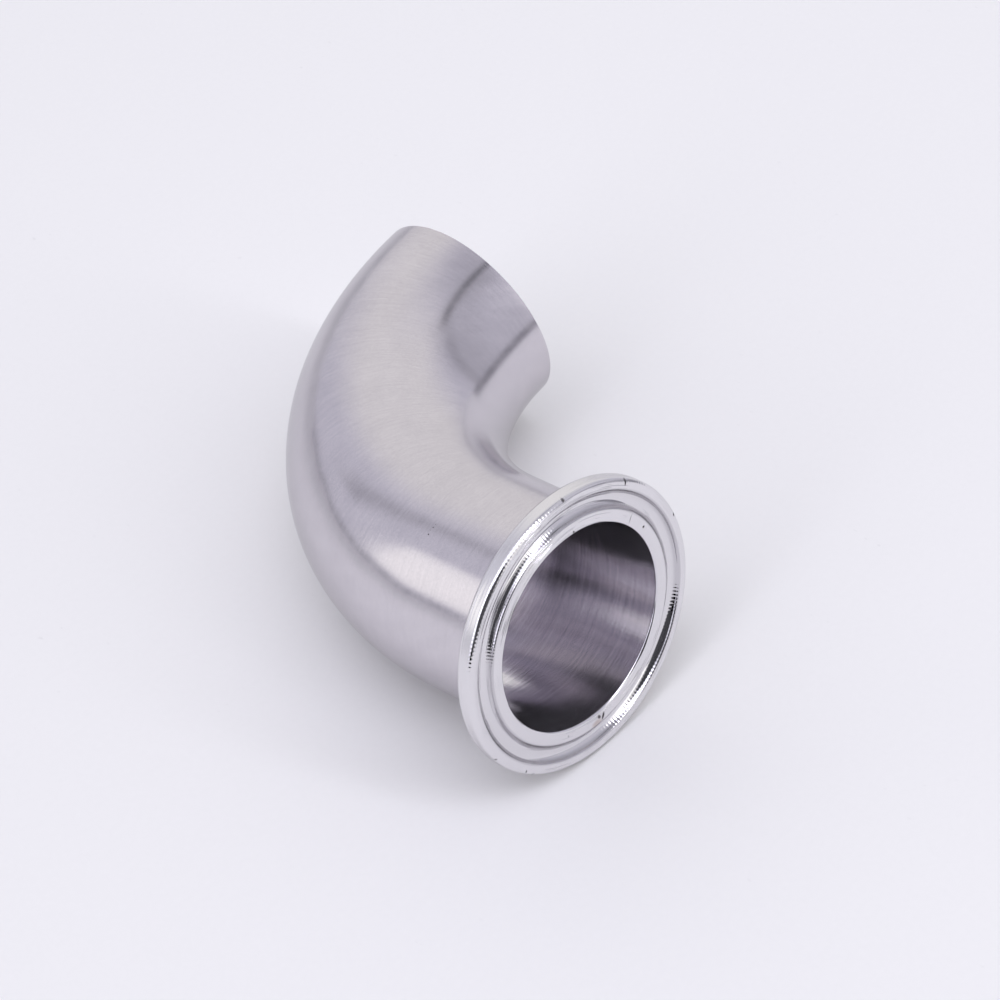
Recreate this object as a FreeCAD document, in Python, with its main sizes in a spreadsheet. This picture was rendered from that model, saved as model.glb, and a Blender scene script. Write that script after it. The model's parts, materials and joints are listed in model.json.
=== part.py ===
import FreeCAD, Part
import math
import os
import Sketcher

# Ninety degree elbow for hygienic tube. A formed tube bend has a turned clamp ferrule butt welded
# to one end, and its other end is cut square and left plain for welding into a line.
# Each piece is drawn in the elbow's own frame: the clamp face's centre is the origin, the clamp
# port faces -Y, and the bend turns in the XY plane towards +X. The finished elbow is then laid on
# a table, the way it comes to rest on its rim and its bend.

# Millimetres and degrees.
SIZES = [
    ("tube_diameter", 38.0, "outside of the tube"),
    ("tube_wall", 1.2, "wall of the bend and of the ferrule's neck"),
    ("bend_radius", 48.5, "centre line of the bend"),
    ("bend_angle", 90.0, "turn of the bend"),
    ("ferrule_length", 21.5, "clamp face to the weld"),
    ("flange_diameter", 50.5, "clamp flange"),
    ("rim_thickness", 2.85, "straight rim of the flange"),
    ("back_taper", 20.0, "slope of the flange's back, which the clamp ring pulls on"),
    ("neck_fillet", 3.0, "between the flange's back and the neck"),
    ("groove_diameter", 43.5, "centre line of the gasket groove"),
    ("groove_round", 1.6, "section radius of the gasket groove"),
    ("groove_depth", 1.2, "gasket groove below the clamp face"),
    ("rim_round", 0.3, "edges of the rim"),
    ("bore_round", 0.4, "edge of the bore at the clamp face"),
    ("end_break", 0.15, "bevel on the edges of the plain end"),
]

doc = FreeCAD.newDocument("elbow")
sheet = doc.addObject("Spreadsheet::Sheet", "Sizes")
for row, (alias, value, meaning) in enumerate(SIZES, start=1):
    sheet.set(f"A{row}", meaning)
    sheet.set(f"B{row}", str(value))
    sheet.setAlias(f"B{row}", alias)
doc.recompute()


def size(alias):
    return float(sheet.get(alias))


# The same sizes as expressions, for what is bound to the sheet.
TUBE_RADIUS = "Sizes.tube_diameter / 2"
BORE_RADIUS = "Sizes.tube_diameter / 2 - Sizes.tube_wall"
FLANGE_RADIUS = "Sizes.flange_diameter / 2"
GROOVE_RADIUS = "Sizes.groove_diameter / 2"
RIM_EDGE = "Sizes.rim_thickness - Sizes.rim_round * tan((90 - Sizes.back_taper) / 2 * 1 deg)"

tube_radius = size("tube_diameter") / 2
bore_radius = tube_radius - size("tube_wall")
flange_radius = size("flange_diameter") / 2
# The turn from the straight rim to the flange's back, and the height at which its rounding starts.
back_turn = 90 - size("back_taper")
rim_edge = size("rim_thickness") - size("rim_round") * math.tan(math.radians(back_turn) / 2)

# How the constraints name a point of a sketched line, arc or circle, and the sketch's origin.
START, END, CENTRE = range(1, 4)
ORIGIN = (-1, START)


def new_body(label):
    body = doc.addObject("PartDesign::Body", label)
    body.Label = label
    return body


def new_sketch(body, name, plane):
    """An empty sketch on one of the body's own origin planes."""
    sketch = body.newObject("Sketcher::SketchObject", name)
    planes = [item for item in body.Origin.OriginFeatures if item.Role == plane]
    sketch.AttachmentSupport = [(planes[0], "")]
    sketch.MapMode = "FlatFace"
    return sketch


def constrain(sketch, kind, *arguments, bound_to=None):
    """One constraint, with its value bound to the sheet where it has one."""
    index = sketch.addConstraint(Sketcher.Constraint(kind, *arguments))
    if bound_to:
        sketch.setExpression(f"Constraints[{index}]", bound_to)


def add_line(sketch, first, second, construction=False):
    line = Part.LineSegment(FreeCAD.Vector(*first, 0), FreeCAD.Vector(*second, 0))
    return sketch.addGeometry(line, construction)


def add_arc(sketch, centre, radius, start_angle, end_angle):
    """An arc that runs anticlockwise from one angle to the other, in degrees."""
    circle = Part.Circle(FreeCAD.Vector(*centre, 0), FreeCAD.Vector(0, 0, 1), radius)
    arc = Part.ArcOfCircle(circle, math.radians(start_angle), math.radians(end_angle))
    return sketch.addGeometry(arc, False)


def add_circle(sketch, centre, radius, radius_cell):
    circle = Part.Circle(FreeCAD.Vector(*centre, 0), FreeCAD.Vector(0, 0, 1), radius)
    index = sketch.addGeometry(circle, False)
    constrain(sketch, "Radius", index, radius, bound_to=radius_cell)
    return index


def revolve(body, kind, name, sketch, axis, angle_cell):
    """A Revolution or a Groove of the sketch about one of the sketch's axes."""
    feature = body.newObject(kind, name)
    feature.Profile = sketch
    feature.ReferenceAxis = (sketch, [axis])
    feature.setExpression("Angle", angle_cell)
    return feature


def ring_edges(feature, radius, centre):
    """The names of the feature's circular edges that have this radius and centre."""
    names = []
    for number, edge in enumerate(feature.Shape.Edges, start=1):
        if not isinstance(edge.Curve, Part.Circle):
            continue
        same_radius = abs(edge.Curve.Radius - radius) < 1e-4
        if same_radius and edge.Curve.Center.distanceToPoint(centre) < 1e-4:
            names.append(f"Edge{number}")
    return names


def polar(centre, radius, angle):
    """The point at this radius and angle, in degrees, about the centre."""
    turn = math.radians(angle)
    return centre[0] + radius * math.cos(turn), centre[1] + radius * math.sin(turn)


def draw_ferrule_section(section):
    """The ferrule's half section, radius along X and height above the clamp face along Y."""
    length = size("ferrule_length")
    bore_round = size("bore_round")
    rim_round = size("rim_round")
    neck_fillet = size("neck_fillet")
    rim_centre = flange_radius - rim_round
    taper = math.radians(size("back_taper"))
    neck_start = size("rim_thickness") + (flange_radius - tube_radius) * math.tan(taper)
    fillet_height = neck_start + neck_fillet * (1 - math.sin(taper)) / math.cos(taper)
    neck_centre = (tube_radius + neck_fillet, fillet_height)
    back_start = polar((rim_centre, rim_edge), rim_round, back_turn)
    back_end = polar(neck_centre, neck_fillet, 180 + back_turn)

    bore = add_line(section, (bore_radius, length), (bore_radius, bore_round))
    bore_edge = add_arc(section, (bore_radius + bore_round, bore_round), bore_round, 180, 270)
    face = add_line(section, (bore_radius + bore_round, 0), (rim_centre, 0))
    front_edge = add_arc(section, (rim_centre, rim_round), rim_round, 270, 360)
    rim = add_line(section, (flange_radius, rim_round), (flange_radius, rim_edge))
    back_edge = add_arc(section, (rim_centre, rim_edge), rim_round, 0, back_turn)
    back = add_line(section, back_start, back_end)
    fillet = add_arc(section, neck_centre, neck_fillet, 180, 180 + back_turn)
    neck = add_line(section, (tube_radius, fillet_height), (tube_radius, length))
    weld = add_line(section, (tube_radius, length), (bore_radius, length))

    smooth_joints = [
        (bore, END, bore_edge, START),
        (bore_edge, END, face, START),
        (face, END, front_edge, START),
        (front_edge, END, rim, START),
        (rim, END, back_edge, START),
        (back_edge, END, back, START),
        (back, END, fillet, END),
        (fillet, START, neck, START),
    ]
    for joint in smooth_joints:
        constrain(section, "Tangent", *joint)
    constrain(section, "Coincident", neck, END, weld, START)
    constrain(section, "Coincident", weld, END, bore, START)
    constrain(section, "Horizontal", *ORIGIN, face, START)
    constrain(section, "Horizontal", face)
    constrain(section, "Vertical", rim)
    constrain(section, "Vertical", neck)
    constrain(section, "Horizontal", weld)
    constrain(section, "Vertical", bore)
    constrain(section, "Equal", front_edge, back_edge)
    constrain(section, "Angle", back, math.pi - taper, bound_to="(180 - Sizes.back_taper) * 1 deg")
    constrain(section, "Radius", bore_edge, bore_round, bound_to="Sizes.bore_round")
    constrain(section, "Radius", front_edge, rim_round, bound_to="Sizes.rim_round")
    constrain(section, "Radius", fillet, neck_fillet, bound_to="Sizes.neck_fillet")
    constrain(section, "DistanceX", *ORIGIN, bore, END, bore_radius, bound_to=BORE_RADIUS)
    constrain(section, "DistanceX", *ORIGIN, rim, END, flange_radius, bound_to=FLANGE_RADIUS)
    constrain(section, "DistanceX", *ORIGIN, neck, END, tube_radius, bound_to=TUBE_RADIUS)
    constrain(section, "DistanceY", *ORIGIN, rim, END, rim_edge, bound_to=RIM_EDGE)
    constrain(section, "DistanceY", *ORIGIN, neck, END, length, bound_to="Sizes.ferrule_length")


def make_ferrule():
    """The turned ferrule: a flange with a tapered back, a gasket groove and a plain neck."""
    body = new_body("clamp_ferrule")
    section = new_sketch(body, "turned_section", "XY_Plane")
    draw_ferrule_section(section)
    revolve(body, "PartDesign::Revolution", "turned", section, "V_Axis", "360")
    doc.recompute()

    # Gasket groove: part of a circle that dips below the clamp face.
    groove_radius = size("groove_diameter") / 2
    above_face = size("groove_round") - size("groove_depth")
    bead = new_sketch(body, "groove_section", "XY_Plane")
    circle = add_circle(bead, (groove_radius, -above_face), size("groove_round"), "Sizes.groove_round")
    above_cell = "Sizes.groove_round - Sizes.groove_depth"
    constrain(bead, "DistanceX", *ORIGIN, circle, CENTRE, groove_radius, bound_to=GROOVE_RADIUS)
    constrain(bead, "DistanceY", circle, CENTRE, *ORIGIN, above_face, bound_to=above_cell)
    revolve(body, "PartDesign::Groove", "gasket_groove", bead, "V_Axis", "360")
    doc.recompute()
    return body


def bend_point(turn):
    """The point of the bend's centre line at this turn, in radians, from the weld."""
    radius = size("bend_radius")
    along = size("ferrule_length") + radius * math.sin(turn)
    return FreeCAD.Vector(radius * (1 - math.cos(turn)), along, 0)


def make_bend():
    """The formed bend: the tube's section, on the weld plane, turned about the bend's centre."""
    body = new_body("elbow_bend")
    radius = size("bend_radius")
    ring = new_sketch(body, "tube_section", "XZ_Plane")
    ring.setExpression("AttachmentOffset.Base.z", "-Sizes.ferrule_length")
    outside = add_circle(ring, (0, 0), tube_radius, TUBE_RADIUS)
    inside = add_circle(ring, (0, 0), bore_radius, BORE_RADIUS)
    constrain(ring, "Coincident", outside, CENTRE, *ORIGIN)
    constrain(ring, "Coincident", inside, CENTRE, *ORIGIN)

    # The line that the bend turns about, through the bend's centre and square to its plane.
    centre_line = add_line(ring, (radius, -tube_radius), (radius, tube_radius), construction=True)
    constrain(ring, "Vertical", centre_line)
    constrain(ring, "DistanceX", *ORIGIN, centre_line, START, radius, bound_to="Sizes.bend_radius")
    constrain(ring, "DistanceY", centre_line, START, *ORIGIN, tube_radius, bound_to=TUBE_RADIUS)
    constrain(ring, "DistanceY", *ORIGIN, centre_line, END, tube_radius, bound_to=TUBE_RADIUS)
    bent = revolve(body, "PartDesign::Revolution", "bent_tube", ring, "Axis0", "Sizes.bend_angle")
    bent.Reversed = True
    doc.recompute()

    plain_end = bend_point(math.radians(size("bend_angle")))
    end_edges = ring_edges(bent, tube_radius, plain_end)
    end_edges += ring_edges(bent, bore_radius, plain_end)
    bevel = body.newObject("PartDesign::Chamfer", "end_break")
    bevel.Base = (bent, end_edges)
    bevel.setExpression("Size", "Sizes.end_break")
    doc.recompute()
    return body


def mass_centre(bodies):
    """The mass centre of pieces of one metal, in the elbow's own frame."""
    total = sum(body.Shape.Volume for body in bodies)
    moments = [body.Shape.CenterOfGravity * body.Shape.Volume for body in bodies]
    return sum(moments, FreeCAD.Vector()) / total


def rim_reach(up):
    """How far below the origin the rounded back edge of the rim reaches, for this upward direction."""
    edge = size("rim_round")
    return (flange_radius - edge) * math.hypot(up.x, up.z) + edge - up.y * rim_edge


def bend_reach(up):
    """How far below the origin the outside of the bend reaches, for this upward direction."""
    turn = math.atan2(-up.y, up.x)
    turn = min(max(turn, 0), math.radians(size("bend_angle")))
    centre = bend_point(turn)
    tangent = FreeCAD.Vector(math.sin(turn), math.cos(turn), 0)
    return tube_radius * math.sqrt(1 - up.dot(tangent) ** 2) - up.dot(centre)


def lowest(height, low, high):
    """The angle between low and high, in radians, where the height is least, and that height."""
    share = (math.sqrt(5) - 1) / 2
    while high - low > 1e-7:
        first = high - share * (high - low)
        second = low + share * (high - low)
        if height(first) < height(second):
            high = second
        else:
            low = first
    middle = (low + high) / 2
    return middle, height(middle)


def upward(forward_lean, side_lean):
    """The table's upward direction, for two leans of the elbow on it."""
    return FreeCAD.Vector(
        math.sin(side_lean),
        -math.sin(forward_lean) * math.cos(side_lean),
        math.cos(forward_lean) * math.cos(side_lean),
    )


def resting_direction(centre):
    """The upward direction in which the elbow lies still.

    It touches the table at one point of the rim and one point under the bend, and rolls on them
    until its mass centre is as low as it can be.
    """
    widest = math.radians(30)

    def centre_height(forward_lean, side_lean):
        up = upward(forward_lean, side_lean)
        return up.dot(centre) + max(rim_reach(up), bend_reach(up))

    def best_side_lean(forward_lean):
        return lowest(lambda side_lean: centre_height(forward_lean, side_lean), 0, widest)

    forward_lean, _ = lowest(lambda lean: best_side_lean(lean)[1], 0, widest)
    side_lean, _ = best_side_lean(forward_lean)
    return upward(forward_lean, side_lean)


def lay_down(bodies):
    """Turn the elbow as it rests, clamp port to -Y, and centre its box on the table at the origin."""
    up = resting_direction(mass_centre(bodies))
    forward = FreeCAD.Vector(0, 1, 0)
    forward = (forward - up * forward.dot(up)).normalize()
    turned = FreeCAD.Rotation(forward.cross(up), forward, up).inverted()
    for body in bodies:
        body.Placement = FreeCAD.Placement(FreeCAD.Vector(), turned)
    doc.recompute()
    box = Part.Compound([body.Shape for body in bodies]).optimalBoundingBox(False, False)
    base = FreeCAD.Vector(-box.Center.x, -box.Center.y, -box.ZMin)
    for body in bodies:
        body.Placement = FreeCAD.Placement(base, turned)
    doc.recompute()


pieces = [make_ferrule(), make_bend()]
lay_down(pieces)

for item in doc.Objects:
    if "Invalid" in item.State or "Error" in item.State:
        raise RuntimeError(f"{item.Label} did not build: {item.State}")
for piece in pieces:
    if piece.Shape.isNull() or not piece.Shape.isValid():
        raise RuntimeError(f"{piece.Label} has no valid shape")

os.makedirs("parts", exist_ok=True)
for piece in pieces:
    piece.Shape.exportStep(f"parts/{piece.Label}.step")
    print(piece.Label, "volume", round(piece.Shape.Volume, 1), "mm3")
print("placement", pieces[0].Placement)
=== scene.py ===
import json
import math

import bpy
import numpy as np
from mathutils import Matrix, Quaternion, Vector


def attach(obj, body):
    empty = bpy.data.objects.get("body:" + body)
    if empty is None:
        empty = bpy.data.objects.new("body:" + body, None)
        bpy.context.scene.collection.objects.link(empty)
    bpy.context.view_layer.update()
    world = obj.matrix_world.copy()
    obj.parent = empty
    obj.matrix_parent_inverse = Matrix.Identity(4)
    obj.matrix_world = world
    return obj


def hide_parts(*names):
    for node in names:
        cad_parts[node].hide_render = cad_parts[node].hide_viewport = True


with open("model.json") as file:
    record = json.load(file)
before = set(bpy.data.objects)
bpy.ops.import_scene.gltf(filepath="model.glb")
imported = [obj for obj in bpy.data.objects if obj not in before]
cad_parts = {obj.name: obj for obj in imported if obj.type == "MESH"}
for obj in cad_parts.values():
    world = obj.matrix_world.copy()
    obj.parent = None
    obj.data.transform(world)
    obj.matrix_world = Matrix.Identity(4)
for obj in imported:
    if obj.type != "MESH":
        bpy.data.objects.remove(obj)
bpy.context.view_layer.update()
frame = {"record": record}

# Ninety degree sanitary elbow: a satin tube bend with a turned and polished clamp ferrule.
# The shapes are worked out in millimetres in the elbow's own frame: the clamp face's centre is the
# origin, Y runs into the ferrule, X is the plain end's axis, and Z is square to the bend.
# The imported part's mounts say how that frame lies on the table, and how large the elbow is.
mm = 0.001
mounts = {mount["name"]: mount for mount in frame["record"]["mounts"]}
axisX = np.array(mounts["weld_end"]["axis"])
axisY = -np.array(mounts["clamp_port"]["axis"])
axisZ = np.cross(axisX, axisY)
turned = np.array([axisX, axisY, axisZ])
boreStart = np.array(mounts["clamp_port"]["pos_m"])
facePoint = np.array(mounts["clamp_face"]["pos_m"])
faceCentre = boreStart + axisY * np.dot(facePoint - boreStart, axisY)
plainEnd = turned @ (np.array(mounts["weld_end"]["pos_m"]) - faceCentre) / mm

tube = {
    "bendRadius": plainEnd[0],
    "boreRadius": mounts["clamp_port"]["dims"]["r_mm"],
    "startHeight": plainEnd[1] - plainEnd[0],  # clamp face to the weld
}
tube["radius"] = 2 * plainEnd[2] - tube["boreRadius"]
print("tube", {name: round(float(value), 3) for name, value in tube.items()})


def placed(points):  # from the elbow's own millimetres to where the part lies, in metres
    return faceCentre + points @ turned * mm


# Quads between the points of a grid that closes on itself both ways, with rows along the section's
# outline and columns around it: point (i, j) joins (i + 1, j), (i + 1, j + 1) and (i, j + 1), the
# order in which the faces point outwards.
def ringFaces(rows, columns):
    i = np.arange(rows)[:, None]
    j = np.arange(columns)[None, :]
    nextI = (i + 1) % rows
    nextJ = (j + 1) % columns
    corners = (i * columns + j, nextI * columns + j, nextI * columns + nextJ, i * columns + nextJ)
    return np.stack(np.broadcast_arrays(*corners), axis=-1).reshape(-1, 4)


def makePiece(name, grid, node, sharpTurn):
    faces = ringFaces(*grid.shape[:2])
    points = placed(grid.reshape(-1, 3))
    first, second, third, fourth = (points[faces[:, corner]] for corner in range(4))
    volume = np.einsum("ij,ij->", first, np.cross(second, third) + np.cross(third, fourth)) / 6
    mesh = bpy.data.meshes.new(name)
    mesh.vertices.add(len(points))
    mesh.vertices.foreach_set("co", points.ravel())
    mesh.loops.add(faces.size)
    mesh.loops.foreach_set("vertex_index", faces.ravel())
    mesh.polygons.add(len(faces))
    mesh.polygons.foreach_set("loop_start", np.arange(0, faces.size, 4))
    mesh.update(calc_edges=True)
    mesh.validate()
    mesh.shade_smooth()
    mesh.set_sharp_from_angle(angle=math.radians(sharpTurn))
    piece = bpy.data.objects.new(name, mesh)
    bpy.context.scene.collection.objects.link(piece)
    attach(piece, "root")
    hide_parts(node)
    print(name, len(faces) * 2, "triangles, volume", round(volume / mm**3, 1), "cubic mm")
    return piece


# Points of a circle's arc in the section, as (radius, height) from one angle to the other in degrees.
def arc(centre, radius, start, end, count):
    turn = np.radians(np.linspace(start, end, count))
    return np.stack([centre[0] + radius * np.cos(turn), centre[1] + radius * np.sin(turn)], axis=1)


# The bend. Its centre line is an arc about (bendRadius, startHeight), and the tube's surface at the
# turn t and the angle a around it is centre(t) + r (cos a towards the arc's centre + sin a along Z).
bend = {
    "turn": 90,
    "endBreak": 0.15,  # bevel on the plain end's edges
    "endHold": 0.02,  # short stretch beside each bevel, which keeps the end flat
    "rowsAlong": 84,
    "columnsAround": 360,
    "sharpTurn": 30,
    # Hand polishing has taken the wall up to waveHeight under true. Each wave has its turns along
    # the bend and around the tube, where it starts, and its size.
    "waveHeight": 0.05,
    "waves": [(7, 2, 0.6, 1.0), (4, -3, 2.1, 1.0), (13, 1, 4.0, 0.7), (9, 5, 0.0, 0.5)],
}


def bendGrid():
    along = np.radians(np.linspace(0, bend["turn"], bend["rowsAlong"]))
    outer, inner, edge, hold = tube["radius"], tube["boreRadius"], bend["endBreak"], bend["endHold"]
    end = [outer - edge, outer - edge - hold, inner + edge + hold, inner + edge]
    turn = np.concatenate([along, np.full(len(end), along[-1]), along[::-1]])
    radius = np.concatenate([np.full(len(along), outer), end, np.full(len(along), inner)])
    setBack = np.zeros(len(turn))
    setBack[[len(along) - 1, len(along) + len(end)]] = edge
    angle = np.linspace(0, 2 * math.pi, bend["columnsAround"], endpoint=False)[None, :]
    turn, radius, setBack = turn[:, None], radius[:, None], setBack[:, None]
    fade = np.sin(2 * turn) ** 2 * (radius == outer)  # the ends and the bore stay true
    waves = sum(
        size * np.sin(lengthwise * turn + around * angle + start)
        for lengthwise, around, start, size in bend["waves"]
    )
    highest = sum(size for *_, size in bend["waves"])
    radius = radius + bend["waveHeight"] * fade * (waves / highest - 1) / 2
    reach = tube["bendRadius"] - radius * np.cos(angle)
    turn = turn - setBack / reach
    x = tube["bendRadius"] - reach * np.cos(turn)
    y = tube["startHeight"] + reach * np.sin(turn)
    z = radius * np.sin(angle) + 0 * turn
    return np.stack([x, y, z], axis=-1)


bendPiece = makePiece("elbow_bend_wall", bendGrid(), "elbow_bend", bend["sharpTurn"])

# The ferrule. Its section, as radius and height above the clamp face, is carried round the Y axis:
# the point at the angle a is (radius cos a, height, radius sin a).
ferrule = {
    "flangeRadius": mounts["clamp_rim"]["dims"]["r_mm"],
    "rimThickness": 2.85,
    "backTaper": 20,
    "neckFillet": 3.0,
    "grooveRadius": 21.75,
    "grooveRound": 1.6,
    "grooveDepth": 1.2,
    "lipRound": 0.30,
    "rimRound": 0.8,
    "boreRound": 0.4,
    "hold": 0.03,  # short stretch beside each rounding, which keeps the flats flat
    "boreMouth": 0.1,  # the bore's even rows end at this share of the ferrule's length
    "rows": {"wall": 12, "bore": 9, "lip": 6, "groove": 36, "rim": 9, "back": 7, "fillet": 12},
    "columnsAround": 480,
    "sharpTurn": 40,
}


def ferruleSection():
    size, rows = ferrule, ferrule["rows"]
    hold, bore, neck = size["hold"], tube["boreRadius"], tube["radius"]
    rim, lip, top = size["flangeRadius"], size["lipRound"], tube["startHeight"]
    taper = math.radians(size["backTaper"])
    fillet, rimCentre = size["neckFillet"], rim - size["rimRound"]
    rimEdge = size["rimThickness"] - size["rimRound"] * math.tan((math.pi / 2 - taper) / 2)
    neckStart = size["rimThickness"] + (rim - neck) * math.tan(taper)
    filletHeight = neckStart + fillet * (1 - math.sin(taper)) / math.cos(taper)
    above = size["grooveRound"] - size["grooveDepth"]
    lipReach = math.sqrt((size["grooveRound"] + lip) ** 2 - (lip + above) ** 2)
    lipTurn = math.degrees(math.atan2(lip + above, lipReach))
    groove = (size["grooveRadius"], -above)
    innerLip = (groove[0] - lipReach, lip)
    outerLip = (groove[0] + lipReach, lip)
    backTurn = 90 - size["backTaper"]
    parts = [
        [(bore, height) for height in np.linspace(top, top * size["boreMouth"], rows["wall"])],
        [(bore, size["boreRound"] + hold)],
        arc((bore + size["boreRound"], size["boreRound"]), size["boreRound"], 180, 270, rows["bore"]),
        [(bore + size["boreRound"] + hold, 0), (innerLip[0] - hold, 0)],
        arc(innerLip, lip, -90, -lipTurn, rows["lip"]),
        arc(groove, size["grooveRound"], 180 - lipTurn, lipTurn, rows["groove"])[1:-1],
        arc(outerLip, lip, 180 + lipTurn, 270, rows["lip"]),
        [(outerLip[0] + hold, 0), (rimCentre - hold, 0)],
        arc((rimCentre, size["rimRound"]), size["rimRound"], 270, 360, rows["rim"]),
        [(rim, size["rimRound"] + hold), (rim, rimEdge - hold)],
        arc((rimCentre, rimEdge), size["rimRound"], 0, backTurn, rows["back"]),
        arc((neck + fillet, filletHeight), fillet, 180 + backTurn, 180, rows["fillet"]),
        [(neck, height) for height in np.linspace(filletHeight + hold, top, rows["wall"])],
    ]
    return np.concatenate([np.asarray(part, dtype=float) for part in parts])


def ferruleGrid():
    radius, height = ferruleSection().T[:, :, None]
    angle = np.linspace(0, 2 * math.pi, ferrule["columnsAround"], endpoint=False)[None, :]
    return np.stack([radius * np.cos(angle), height + 0 * angle, radius * np.sin(angle)], axis=-1)


ferrulePiece = makePiece(
    "clamp_ferrule_turned", ferruleGrid(), "clamp_ferrule", ferrule["sharpTurn"]
)


# A socket that takes part in arithmetic. Each operator adds the Math node that works it out.
class Wire:
    def __init__(self, sheet, socket):
        self.sheet = sheet
        self.socket = socket

    def math(self, operation, *values):
        return self.sheet.node("ShaderNodeMath", {"operation": operation}, dict(enumerate(values)))

    def __add__(self, other):
        return self.math("ADD", self, other)

    def __radd__(self, other):
        return self.math("ADD", other, self)

    def __sub__(self, other):
        return self.math("SUBTRACT", self, other)

    def __rsub__(self, other):
        return self.math("SUBTRACT", other, self)

    def __mul__(self, other):
        return self.math("MULTIPLY", self, other)

    def __truediv__(self, other):
        return self.math("DIVIDE", self, other)

    def __pow__(self, other):
        return self.math("POWER", self, other)

    def __abs__(self):
        return self.math("ABSOLUTE", self)

    def rise(self, low, high):  # smooth step from 0 at low to 1 at high, or the other way round
        settings = {"interpolation_type": "SMOOTHSTEP"}
        return self.sheet.node("ShaderNodeMapRange", settings, {0: self, 1: low, 2: high})

    def most(self, other):
        return self.math("MAXIMUM", self, other)

    def output(self, name):  # another output of the same node
        return Wire(self.sheet, self.socket.node.outputs[name])


# The nodes of one material or of the world.
class NodeSheet:
    def __init__(self, owner):
        owner.use_nodes = True
        self.tree = owner.node_tree
        self.tree.nodes.clear()

    # Any node: its type, its settings, then the values or links of its sockets.
    def node(self, kind, settings=None, inputs=None, output=0):
        made = self.tree.nodes.new(kind)
        for name, value in (settings or {}).items():
            setattr(made, name, value)
        for socket, value in (inputs or {}).items():
            if isinstance(value, Wire):
                self.tree.links.new(value.socket, made.inputs[socket])
            else:
                made.inputs[socket].default_value = value
        return Wire(self, made.outputs[output]) if made.outputs else made

    def vector(self, operation, *values, output=0):
        settings = {"operation": operation}
        return self.node("ShaderNodeVectorMath", settings, dict(enumerate(values)), output)

    def parts(self, vector):
        x = self.node("ShaderNodeSeparateXYZ", None, {0: vector})
        return x, x.output("Y"), x.output("Z")

    def joined(self, x, y, z):
        return self.node("ShaderNodeCombineXYZ", None, {0: x, 1: y, 2: z})

    def mixed(self, factor, first, second):  # colours
        settings = {"data_type": "RGBA"}
        return self.node("ShaderNodeMix", settings, {0: factor, 6: first, 7: second}, 2)

    def noise(self, vector, detail=2.0):  # about -1 to 1
        inputs = {"Vector": vector, "Scale": 1.0, "Detail": detail}
        return (self.node("ShaderNodeTexNoise", None, inputs) - 0.5) * 2

    def noiseAlong(self, distance, detail):
        settings = {"noise_dimensions": "1D"}
        inputs = {"W": distance, "Scale": 1.0, "Detail": detail}
        return (self.node("ShaderNodeTexNoise", settings, inputs) - 0.5) * 2

    def stretched(self, vector, *scale):  # one scale for all three axes, or one for each
        return self.vector("MULTIPLY", vector, scale if len(scale) == 3 else scale * 3)

    def alongDirection(self, vector, direction):
        return self.vector("DOT_PRODUCT", vector, direction, output="Value")


# The elbow's own millimetres, from the piece's Object coordinates.
def elbowPoint(sheet):
    place = sheet.node("ShaderNodeTexCoord", output="Object")
    shift = Vector(-turned @ faceCentre / mm)
    turn = Matrix(turned.tolist()).to_euler("XYZ")
    inputs = {"Vector": place, "Location": shift, "Rotation": turn, "Scale": (1 / mm,) * 3}
    return sheet.node("ShaderNodeMapping", {"vector_type": "POINT"}, inputs)


steel = {
    "metallic": 0.96,
    "atGrazing": (0.80, 0.80, 0.80, 1),  # it reflects less near 82 degrees than the plain curve says
}


def metal(sheet, colour, roughness, height):
    relief = sheet.node("ShaderNodeBump", None, {"Height": height, "Distance": 1.0, "Strength": 1.0})
    inputs = {"Base Color": colour, "Metallic": steel["metallic"], "Roughness": roughness}
    inputs.update({"Normal": relief, "Specular Tint": steel["atGrazing"]})
    surface = sheet.node("ShaderNodeBsdfPrincipled", None, inputs)
    sheet.node("ShaderNodeOutputMaterial", None, {"Surface": surface})


# A middle value with each noise added by its share.
def weighted(middle, noises, shares):
    total = middle
    for name, share in shares.items():
        total = noises[name] * share + total
    return total


# Satin outside of the tube: its colour, roughness and relief, from the straightened tube's point.
satin = {
    "paleColour": (0.690, 0.658, 0.692, 1),
    "darkColour": (0.590, 0.563, 0.600, 1),
    "shade": 0.5,  # from dark to pale
    "shadeShares": {"clouds": 0.35, "smear": 0.40, "brushed": 0.45, "grain": 0.40},
    "roughness": 0.17,
    "roughShares": {"clouds": 0.03, "smear": 0.05, "brushed": 0.03},
    "cloudSize": 9.0,
    "brushedLine": 0.35,
    "brushedLength": 5.0,
    "brushedHeight": 0.0003 * mm,
    "smearLean": 28,  # hand-polished patches lean across the tube
    "smearScale": (0.25, 0.09, 0.5),
    "grainSize": 0.4,
    "waveSize": 13.0,
    "waveHeight": 0.18 * mm,
    "waveStart": 14.0,  # the bend's waves grow over this length from the weld
    # Pinholes beside the weld: the angle around the tube, the place along it and the radius. Their
    # near-black colour is painted shade inside the holes.
    "pinholes": [(110.4, -0.12, 0.17), (106.4, -0.17, 0.15), (108.2, 0.05, 0.10), (104.6, -0.21, 0.10)],
    "pinholeDepth": 0.03 * mm,
    "pinholeColour": (0.03, 0.03, 0.035, 1),
    "pinholeRoughness": 0.3,
}


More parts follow.
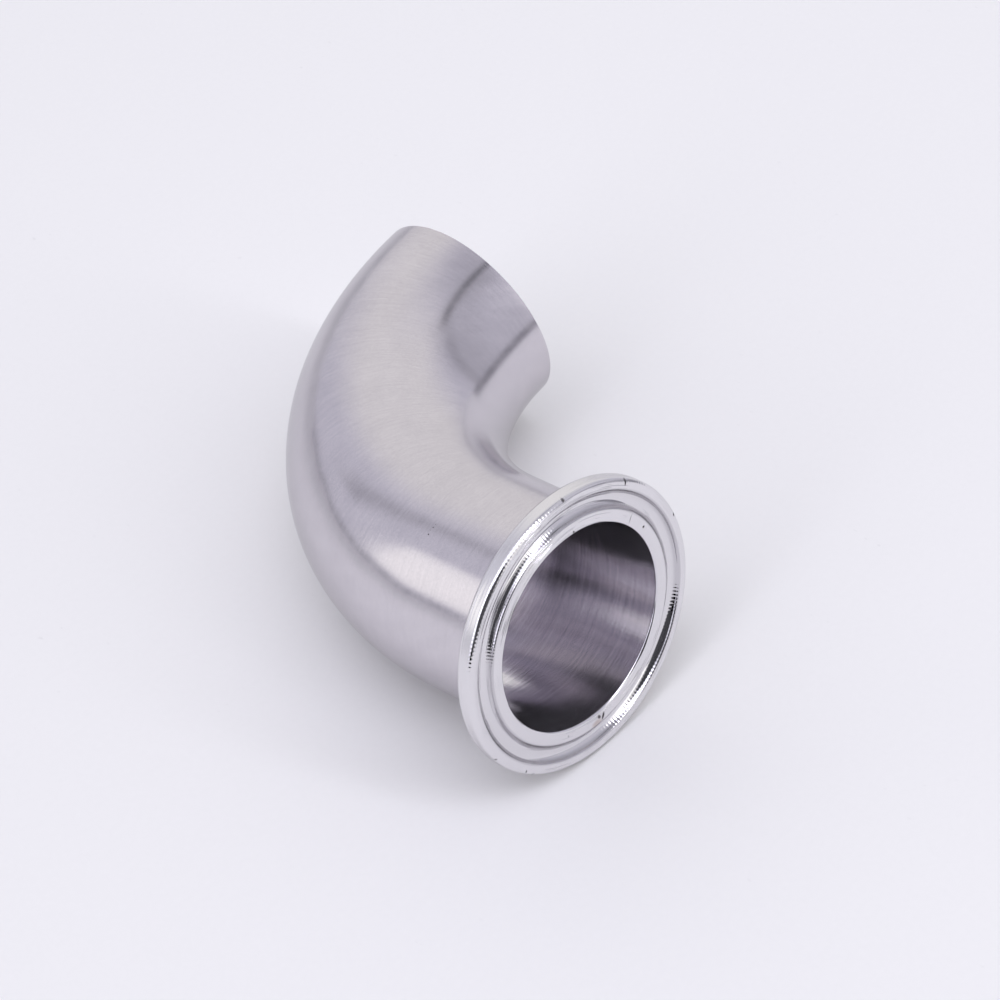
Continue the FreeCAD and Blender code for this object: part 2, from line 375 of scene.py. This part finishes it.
def satinFinish(sheet, straight):
    line, length = satin["brushedLine"], satin["brushedLength"]
    inputs = {"Vector": straight, "Rotation": (math.radians(satin["smearLean"]), 0.0, 0.0)}
    leaning = sheet.node("ShaderNodeMapping", {"vector_type": "POINT"}, inputs)
    noises = {
        "clouds": sheet.noise(sheet.stretched(straight, 1 / satin["cloudSize"]), 3.0),
        "brushed": sheet.noise(sheet.stretched(straight, 1 / length, 1 / line, 1 / length)),
        "smear": sheet.noise(sheet.stretched(leaning, *satin["smearScale"])),
        "grain": sheet.noise(sheet.stretched(straight, 1 / satin["grainSize"]), 1.0),
    }
    shade = weighted(satin["shade"], noises, satin["shadeShares"])
    colour = sheet.mixed(shade, satin["darkColour"], satin["paleColour"])
    roughness = weighted(satin["roughness"], noises, satin["roughShares"])
    x, along, z = sheet.parts(straight)
    outward = x.rise(tube["radius"] * 0.5, -tube["radius"])  # the inside of the bend stays true
    wave = sheet.noise(sheet.stretched(straight, 1 / satin["waveSize"]))
    wave = wave * along.rise(0.0, satin["waveStart"]) * outward
    height = noises["brushed"] * satin["brushedHeight"] + wave * satin["waveHeight"]
    holes = 0.0
    for degrees, past, size in satin["pinholes"]:
        turn = math.radians(degrees)
        centre = (tube["radius"] * math.cos(turn), past, tube["radius"] * math.sin(turn))
        near = sheet.vector("DISTANCE", straight, centre, output="Value")
        holes = near.rise(size, size / 2) + holes
    # Painted shade: the pinholes are coloured near black, as well as sunk a little.
    colour = sheet.mixed(holes, colour, satin["pinholeColour"])
    roughness = roughness + holes * satin["pinholeRoughness"]
    return colour, roughness, height - holes * satin["pinholeDepth"]


# Brushed bore: smoother than the outside, with fine lines around the tube and fainter ones along it.
bore = {
    # The bore's colours are paler than the outside's: partly the steel's own tone, partly painted light
    # for the light that bounces along inside the tube.
    "paleColour": (0.855, 0.829, 0.866, 1),
    "darkColour": (0.660, 0.636, 0.680, 1),
    "shade": 0.45,
    "shadeShares": {"clouds": 0.35, "around": 0.8, "along": 0.4},
    "roughness": 0.13,
    "roughShares": {"around": 0.05, "clouds": 0.03},
    "cloudScale": (0.12, 0.08, 0.12),
    "lineWidth": 0.5,
    "lineLength": 9.0,
    "lineHeight": 0.0055 * mm,
    "reliefShares": {"around": 1.0, "along": 0.4},
    "changeOver": 0.3,  # the finish changes over inside the wall, from this deep under its surfaces
    "mouthDepth": 0.1,  # and has changed over by this depth in the ferrule
}


def boreFinish(sheet, straight):
    width, length = bore["lineWidth"], bore["lineLength"]
    noises = {
        "around": sheet.noise(sheet.stretched(straight, 1 / length, 1 / width, 1 / length)),
        "along": sheet.noise(sheet.stretched(straight, 1 / width, 1 / length, 1 / width)),
        "clouds": sheet.noise(sheet.stretched(straight, *bore["cloudScale"])),
    }
    shade = weighted(bore["shade"], noises, bore["shadeShares"])
    colour = sheet.mixed(shade, bore["darkColour"], bore["paleColour"])
    roughness = weighted(bore["roughness"], noises, bore["roughShares"])
    return colour, roughness, weighted(0.0, noises, bore["reliefShares"]) * bore["lineHeight"]


def chosen(sheet, share, first, second):  # a finish that changes over from one to the other
    colour = sheet.mixed(share, first[0], second[0])
    return colour, *(a * (1 - share) + b * share for a, b in zip(first[1:], second[1:]))


def bendMaterial():
    material = bpy.data.materials.new("satin_steel")
    sheet = NodeSheet(material)
    x, y, z = sheet.parts(elbowPoint(sheet))  # straightened: the turn becomes a length along the tube
    inward = tube["bendRadius"] - x
    past = y - tube["startHeight"]
    reach = (inward * inward + past * past) ** 0.5
    turn = past.math("ARCTAN2", past, inward)
    across = tube["bendRadius"] - reach
    straight = sheet.joined(across, turn * tube["bendRadius"], z)
    fromCentre = (across * across + z * z) ** 0.5
    changeOver = bore["changeOver"]
    inside = fromCentre.rise(tube["radius"] - changeOver, tube["boreRadius"] + changeOver)
    metal(sheet, *chosen(sheet, inside, satinFinish(sheet, straight), boreFinish(sheet, straight)))
    return material


# Turned and polished flange: rings left by the tool, with a little chatter across them.
turnedFace = {
    "colour": (0.81, 0.795, 0.815, 1),
    "dullColour": (0.745, 0.73, 0.75, 1),
    # painted shade: the groove is coloured darker than the lands, and its walls darker still
    "grooveColour": (0.745, 0.73, 0.75, 1),
    "wallColour": (0.60, 0.585, 0.61, 1),
    "stainColour": (0.42, 0.30, 0.24, 1),
    "stainShare": 0.6,
    # painted dark reflection: the colour of the nicks
    "wornColour": (0.05, 0.045, 0.045, 1),
    "wornRoughness": 0.3,
    "wornDepth": 0.02 * mm,
    "tornScale": 1.4,  # the marks' outlines are torn by noise of this scale, this far in X and Z
    "tornReach": (0.12, -0.1),
    "cloudScale": 0.15,
    "shade": 0.5,  # from dull to bright, and the clouds' share in it
    "cloudShare": 0.4,
    "roughness": 0.06,
    "cloudRoughness": 0.02,
    "sideRoughness": 0.24,
    "sideFrom": (0.30, 0.45),  # the rim's side starts over these heights
    "sideDepth": (0.10, 0.02),  # and over these depths from the flange's radius
    "sectionSlope": (0.93, 1.37),  # how the tool's path counts radius and height
    "ringWidth": 0.12,
    "ringHeight": 0.003 * mm,
    "toolPitch": 0.30,  # the tool's feed on each turn
    "toolSlope": 1.1,
    "toolWidth": 0.5,  # deep and shallow cuts change over about this width
    "toolTurns": 2.0,
    "deepFrom": (-0.1, 0.5),
    "grooveEdge": (1.90, 1.70),  # distances from the groove's middle, like the two walls'
    "grooveWall": (0.8, 1.3),
    "grooveShare": 0.25,  # the groove is smoother than the lands beside it
    "landHeight": (0.06, 0.01),
    "chatterWall": (0.6, 1.1),
    "chatterEdge": 0.15,
    "chatterRim": 0.6,  # it has its full height under this share of the rim's round
    "chatterTurns": 230,
    "chatterHeight": 0.008 * mm,
    "patchTurns": 6,  # chatter comes and goes in patches, about this middle share
    "patchScale": 0.8,
    "patchShare": 0.6,
    "neckFrom": (5.6, 7.6),  # the neck is satin from these heights on
}

# Nicks on the clamp face, a little sunk and rougher, whose dark look is a painted dark reflection: the
# radius and angle of the centre, half the length along the radius, half the width across it, a lean in
# degrees, and how dark.
marks = [
    (24.60, 44.2, 0.85, 0.30, 20, 1.0),
    (24.90, 7.2, 0.45, 0.42, 0, 1.0),
    (24.95, 77.6, 0.42, 0.40, 0, 0.9),
    (24.65, 217.0, 0.45, 0.20, 30, 0.8),
    (25.00, 221.8, 0.42, 0.20, -40, 0.8),
    (25.05, 197.4, 0.26, 0.40, 0, 0.7),
    (19.19, 19.6, 0.34, 0.30, 0, 1.0),
    (19.10, 32.0, 1.10, 0.10, 8, 0.8),
    (18.30, 74.0, 0.40, 0.26, 35, 0.9),
    (19.10, 239.0, 0.30, 0.15, 0, 0.6),
    (19.30, 263.6, 0.95, 0.36, -28, 1.0),
    (18.90, 261.0, 0.60, 0.42, 30, 0.9),
]
stain = (19.9, 259.0, 1.1, 1.6, 0, 0.8)
markReach = 1.5  # how far a mark goes down the flange from its face
markCore = 0.35  # full depth inside this share of a mark's size


def markMask(sheet, point, mark):
    radius, degrees, length, width, lean, depth = mark
    turn = math.radians(degrees)
    inputs = {
        "Vector": point,
        "Location": (radius * math.cos(turn), 0.0, radius * math.sin(turn)),
        "Rotation": (0.0, -turn - math.radians(lean), 0.0),
        "Scale": (length, markReach, width),
    }
    local = sheet.node("ShaderNodeMapping", {"vector_type": "TEXTURE"}, inputs)
    return sheet.vector("LENGTH", local, output="Value").rise(1.0, markCore) * depth


def flangeFinish(sheet, point, x, y, z, radius):
    look, rim = turnedFace, ferrule["flangeRadius"]
    turn = z.math("ARCTAN2", z, x)
    fromMiddle = abs(radius - ferrule["grooveRadius"])
    inGroove = fromMiddle.rise(*look["grooveEdge"])
    edge, rounding = rim - ferrule["rimRound"], ferrule["rimRound"]
    onEdge = radius.rise(edge, edge + look["chatterEdge"])
    onEdge = onEdge * y.rise(rounding, rounding * look["chatterRim"])
    sideFrom, sideTo = (rim - depth for depth in look["sideDepth"])
    onSide = y.rise(*look["sideFrom"]) * radius.rise(sideFrom, sideTo)
    onLand = y.rise(*look["landHeight"]) * (1 - inGroove)
    # The tool's rings: sine waves of its pitch where it cut deep, and fine noise everywhere.
    radial, upward = look["sectionSlope"]
    section = radius * radial + y * upward
    rings = sheet.noiseAlong(section / look["ringWidth"], 3.0)
    feed = look["toolPitch"] / (2 * math.pi)
    wander = sheet.joined(turn * look["toolTurns"], section / look["toolWidth"], 0.0)
    cut = sheet.noise(wander, 1.0).rise(*look["deepFrom"])
    scores = (section / feed).math("SINE", section / feed) * cut * (feed * look["toolSlope"] * mm)
    height = rings * look["ringHeight"] + scores
    height = height * (onLand * (1 - look["grooveShare"]) + look["grooveShare"])
    # Chatter: short waves along the turn, on the groove's walls and the rim's edge.
    patches = sheet.joined(turn * look["patchTurns"], section * look["patchScale"], 0.0)
    patchy = sheet.noise(patches) + look["patchShare"]
    chatter = turn.math("SINE", turn * look["chatterTurns"]) * patchy
    chatter = chatter * (inGroove * fromMiddle.rise(*look["chatterWall"]) + onEdge)
    height = height + chatter * look["chatterHeight"]
    # Colours, then the marks and the stain with their torn outlines.
    clouds = sheet.noise(sheet.stretched(point, look["cloudScale"]), 3.0)
    shade = clouds * look["cloudShare"] + look["shade"]
    colour = sheet.mixed(shade, look["dullColour"], look["colour"])
    # Painted shade: the groove darker than the lands, and its walls darker still.
    colour = sheet.mixed(inGroove, colour, look["grooveColour"])
    colour = sheet.mixed(inGroove * fromMiddle.rise(*look["grooveWall"]), colour, look["wallColour"])
    rough = sheet.noise(sheet.stretched(point, look["tornScale"]))
    acrossX, acrossZ = (rough * reach for reach in look["tornReach"])
    torn = sheet.vector("ADD", point, sheet.joined(acrossX, 0.0, acrossZ))
    nicksAndShade = 0.0
    for mark in marks:
        nicksAndShade = markMask(sheet, torn, mark) + nicksAndShade
    colour = sheet.mixed(markMask(sheet, torn, stain) * look["stainShare"], colour, look["stainColour"])
    # Painted dark reflection: the nicks are coloured near black.
    colour = sheet.mixed(nicksAndShade, colour, look["wornColour"])
    roughness = look["roughness"] + clouds * look["cloudRoughness"] + nicksAndShade * look["wornRoughness"]
    roughness = roughness + onSide * (look["sideRoughness"] - look["roughness"])
    return colour, roughness, height - nicksAndShade * look["wornDepth"]


def ferruleMaterial():
    material = bpy.data.materials.new("polished_steel")
    sheet = NodeSheet(material)
    point = elbowPoint(sheet)
    x, y, z = sheet.parts(point)
    radius = (x * x + z * z) ** 0.5
    straight = sheet.joined(x, y - tube["startHeight"], z)
    depth = radius - tube["boreRadius"]
    inside = depth.rise(bore["changeOver"], bore["mouthDepth"])
    onNeck = y.rise(*turnedFace["neckFrom"]) * (1 - inside)
    flange = flangeFinish(sheet, point, x, y, z, radius)
    finish = chosen(sheet, onNeck, flange, satinFinish(sheet, straight))
    metal(sheet, *chosen(sheet, inside, finish, boreFinish(sheet, straight)))
    return material


bendPiece.data.materials.append(bendMaterial())
ferrulePiece.data.materials.append(ferruleMaterial())
print("materials", [material.name for material in bpy.data.materials])

# The table: plain pale paper with faint fibres and specks. Reflected rays alone also see a painted
# reflection and painted shade: grey past the paper's edge to the camera's right, as if the paper ended
# on a bench, and the paper's far side darkened. Every other ray sees paper as far as the horizon.
table = {
    "paper": (0.846, 0.844, 0.827, 1),
    # painted reflection: the grey that reflected rays see past the paper's edge
    "bench": (0.23, 0.226, 0.24, 1),
    "edgeAzimuth": 134,
    "edgeDistance": 0.23,
    "benchFrom": 178,  # the painted bench grey is seen on one side of this azimuth's square only
    "farAzimuth": -10,
    "farShade": (0.08, 0.30),  # painted shade, for reflected rays only: the paper's far side darkens over these distances
    "farDepth": 0.34,
    "halfWidth": 6.0,
    "roughness": 0.6,
    "specular": 0.2,
    "speckShade": 0.93,
    "fibreShare": 0.1,
    "fibreScale": 900,
    "speckScale": (700, 420, 500),
    "speckFrom": (0.42, 0.62),
    "patchScale": 45,  # specks lie in patches
    "patchFrom": (0.1, 0.5),
    "edgeBlur": 0.01,
    "sideBlur": 0.02,
}


def directionOf(azimuth, elevation):  # azimuth 0 along +Y, 90 along +X
    a, e = math.radians(azimuth), math.radians(elevation)
    return Vector((math.sin(a) * math.cos(e), math.cos(a) * math.cos(e), math.sin(e)))


def makeTable():
    half = table["halfWidth"]
    corners = [(-half, -half, 0), (half, -half, 0), (half, half, 0), (-half, half, 0)]
    mesh = bpy.data.meshes.new("table")
    mesh.from_pydata([Vector(corner) for corner in corners], [], [(0, 1, 2, 3)])
    paper = bpy.data.objects.new("table", mesh)
    bpy.context.scene.collection.objects.link(paper)
    material = bpy.data.materials.new("pale_paper")
    sheet = NodeSheet(material)
    place = sheet.node("ShaderNodeTexCoord", output="Object")
    fibres = sheet.noise(sheet.stretched(place, table["fibreScale"]), 0.0)
    patches = sheet.noise(sheet.stretched(place, table["patchScale"]), 0.0).rise(*table["patchFrom"])
    specks = sheet.noise(sheet.stretched(place, *table["speckScale"]), 1.0).rise(*table["speckFrom"])
    shaded = [table["speckShade"] * value for value in table["paper"]]
    share = table["fibreShare"]
    colour = sheet.mixed(fibres * -share + specks * patches + share, table["paper"], shaded)
    outward, beside, far = (
        sheet.alongDirection(place, directionOf(table[azimuth], 0))
        for azimuth in ("edgeAzimuth", "benchFrom", "farAzimuth")
    )
    edge, blur, sideBlur = table["edgeDistance"], table["edgeBlur"], table["sideBlur"]
    past = outward.rise(edge - blur, edge + blur) * beside.rise(-sideBlur, sideBlur)
    # Painted reflection and shade: only reflected rays see the bench grey past the edge and the far
    # paper darkened.
    reflected = sheet.node("ShaderNodeLightPath", output="Is Glossy Ray")
    colour = sheet.mixed(past * reflected, colour, table["bench"])
    paintedFarShade = far.rise(*table["farShade"]) * reflected * table["farDepth"]
    colour = sheet.mixed(paintedFarShade, colour, table["bench"])
    inputs = {"Base Color": colour, "Roughness": table["roughness"]}
    inputs["Specular IOR Level"] = table["specular"]
    surface = sheet.node("ShaderNodeBsdfPrincipled", None, inputs)
    sheet.node("ShaderNodeOutputMaterial", None, {"Surface": surface})
    mesh.materials.append(material)


makeTable()

# The studio around the table. Each soft-edged field of the room is given by the direction of its
# middle, its width and height and its lean in degrees, how soft its edge is, and how much brighter
# or darker than the room it is. Azimuth 0 is along +Y and 90 along +X.
room = {
    "coolColour": (0.960, 0.952, 1.070, 1),
    "warmColour": (1.000, 0.985, 0.985, 1),
    "light": 0.715,
    "backdrop": (0.93, 0.925, 0.955, 1),  # what the camera itself sees past the table
    "leastDepth": 0.05,  # how far a direction has to point towards a field to look into it
    "warmFields": ("brightWall", "lowWindow", "rightWall"),
    "fields": {
        "overhead": (-135, 74, 46, 24, 0, 0.10, 2.50),
        "leftWall": (-90, 34, 27, 60, 0, 0.10, 0.85),
        "leftLow": (-103, 2, 40, 12, 0, 0.08, -0.40),
        "photographer": (-150, 25, 77, 60, 0, 0.08, -0.66),
        "rightWall": (167, 20, 22, 64, 0, 0.08, 0.80),
        "doorway": (123, 27, 64, 66, 0, 0.05, -0.06),
        "doorLeft": (97, 22, 5, 54, 0, 0.05, -0.15),
        "doorShade": (106, 16, 24, 56, 0, 0.20, -0.09),
        "doorTop": (107, 60, 32, 5, -48, 0.03, -0.46),
        "lowWindow": (-44, 19, 20, 26, 0, 0.03, 0.54),
        "farLine": (-12, 32, 7, 30, 8, 0.06, -0.24),
        "tableEdge": (-27, 1.5, 54, 6, 0, 0.03, -0.27),
        "brightWall": (46, 28, 62, 60, 0, 0.30, 0.19),
        "highFar": (60, 76, 70, 26, 0, 0.20, -0.16),
    },
}

# Two tall soft lights, on the camera's right and left: the direction and distance from the middle of
# the table, the width and height in metres, and the brightness of the screen.
softLights = {
    "rightLight": (165, 45, 1.0, 0.11, 0.70, 5.6),
    "leftLight": (-97, 40, 1.0, 0.13, 0.90, 1.5),
}


# Share of a field that a direction looks into: 1 inside its outline on a screen one unit away,
# falling to 0 over the soft edge, and 0 for directions that turn away from it.
def fieldShare(sheet, direction, azimuth, elevation, width, height, lean, edge):
    ahead = directionOf(azimuth, elevation)
    lying = Quaternion(ahead, math.radians(lean))
    across = lying @ directionOf(azimuth + 90, 0)
    up = lying @ directionOf(azimuth, elevation + 90)
    depth = sheet.alongDirection(direction, ahead)
    share = depth.rise(0.0, room["leastDepth"])
    away = depth.most(room["leastDepth"])
    for axis, degrees in ((across, width), (up, height)):
        half = math.tan(math.radians(degrees / 2))
        offset = abs(sheet.alongDirection(direction, axis) / away)
        share = share * offset.rise(half + edge, max(half - edge, 0.0))
    return share


def makeRoom():
    world = bpy.data.worlds.new("studio")
    bpy.context.scene.world = world
    sheet = NodeSheet(world)
    direction = sheet.node("ShaderNodeTexCoord", output="Generated")
    colour, level = room["coolColour"], room["light"]
    for name, (*shape, extra) in room["fields"].items():
        share = fieldShare(sheet, direction, *shape)
        if name in room["warmFields"]:
            colour = sheet.mixed(share, colour, room["warmColour"])
        level = share * extra + level
    lit = sheet.node("ShaderNodeBackground", None, {"Color": colour, "Strength": level})
    plain = sheet.node("ShaderNodeBackground", None, {"Color": room["backdrop"], "Strength": 1.0})
    seen = sheet.node("ShaderNodeLightPath", output="Is Camera Ray")
    surface = sheet.node("ShaderNodeMixShader", None, {0: seen, 1: lit, 2: plain})
    sheet.node("ShaderNodeOutputWorld", None, {"Surface": surface})


def makeSoftLight(name, azimuth, elevation, distance, width, height, brightness):
    data = bpy.data.lights.new(name, "AREA")
    data.shape = "RECTANGLE"
    data.size = width
    data.size_y = height
    data.energy = brightness * math.pi * width * height
    data.color = room["coolColour"][:3]
    light = bpy.data.objects.new(name, data)
    towards = directionOf(azimuth, elevation)
    light.location = towards * distance
    light.rotation_mode = "QUATERNION"
    light.rotation_quaternion = towards.to_track_quat("Z", "Y")
    bpy.context.scene.collection.objects.link(light)


makeRoom()
for name, settings in softLights.items():
    makeSoftLight(name, *settings)
print("room with", len(room["fields"]), "fields and", len(softLights), "soft lights")

# The camera stands where the photograph was taken: its aim point on the elbow, its distance and
# direction from there, and how far its frame is rolled.
camera = {
    "aim": (4.872 * mm, -8.078 * mm, 19.419 * mm),
    "distance": 570.787 * mm,
    "azimuth": -43.759,
    "elevation": 43.681,
    "roll": 4.779,
    "lens": 122.184,
    "sensor": 36,
    "clip": (0.02, 50),
}


def makeCamera():
    data = bpy.data.cameras.new("camera")
    data.sensor_width = camera["sensor"]
    data.lens = camera["lens"]
    data.clip_start, data.clip_end = camera["clip"]
    shooter = bpy.data.objects.new("camera", data)
    back = directionOf(180 - camera["azimuth"], camera["elevation"])
    shooter.location = Vector(camera["aim"]) + back * camera["distance"]
    shooter.rotation_mode = "QUATERNION"
    roll = Quaternion((0, 0, 1), math.radians(-camera["roll"]))
    shooter.rotation_quaternion = (-back).to_track_quat("-Z", "Y") @ roll
    bpy.context.scene.collection.objects.link(shooter)
    bpy.context.scene.camera = shooter


makeCamera()
bpy.context.scene.view_settings.view_transform = "Standard"
